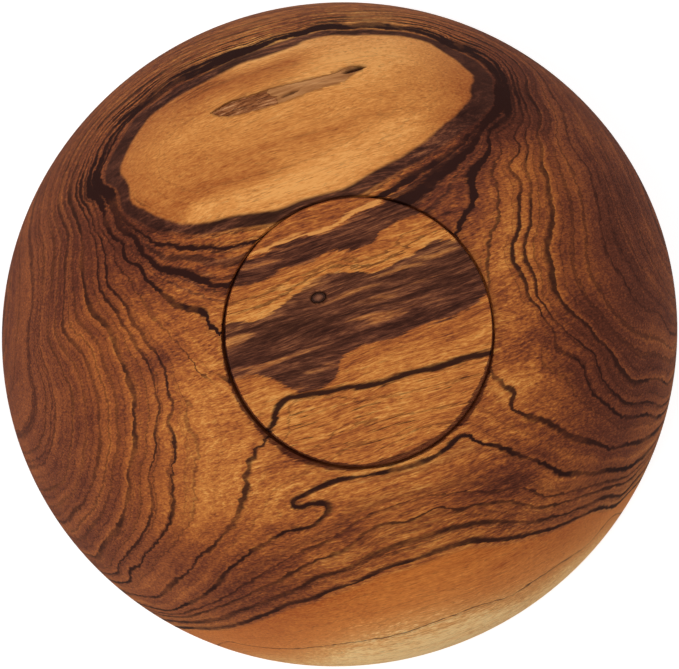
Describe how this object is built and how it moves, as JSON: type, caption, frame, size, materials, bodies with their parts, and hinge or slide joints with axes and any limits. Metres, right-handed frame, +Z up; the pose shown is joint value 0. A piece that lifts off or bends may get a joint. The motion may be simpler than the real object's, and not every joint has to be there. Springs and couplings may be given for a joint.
{
  "type": "wooden bowl",
  "caption": "Round turned olive wood bowl with a curved wall, a rounded lip and a low foot disc let into its underside, for serving or holding food.",
  "frame": {"origin": "on the table, under the middle of the foot disc", "axes": "+Z up out of the bowl's mouth, +X along the grain, which is the rim's longer diameter, +Y across the grain"},
  "size_m": [0.25, 0.244, 0.075],
  "materials": {
    "olive_wood": "oiled, satin, orange brown with dark growth lines and pale sapwood",
    "olive_wood_foot": "oiled, satin, orange brown with broad dark bands",
    "old_bark": "rough, fibrous, matt",
    "wood_filler": "sanded wood dust filler, matt",
    "knot_wood": "dark, dense end grain"
  },
  "bodies": {
    "root": {"bowl_body": "olive_wood", "foot_disc": "olive_wood_foot", "bark_inclusion": "old_bark", "pocket_filler": "wood_filler", "pin_knot": "knot_wood"}
  },
  "joints": []
}
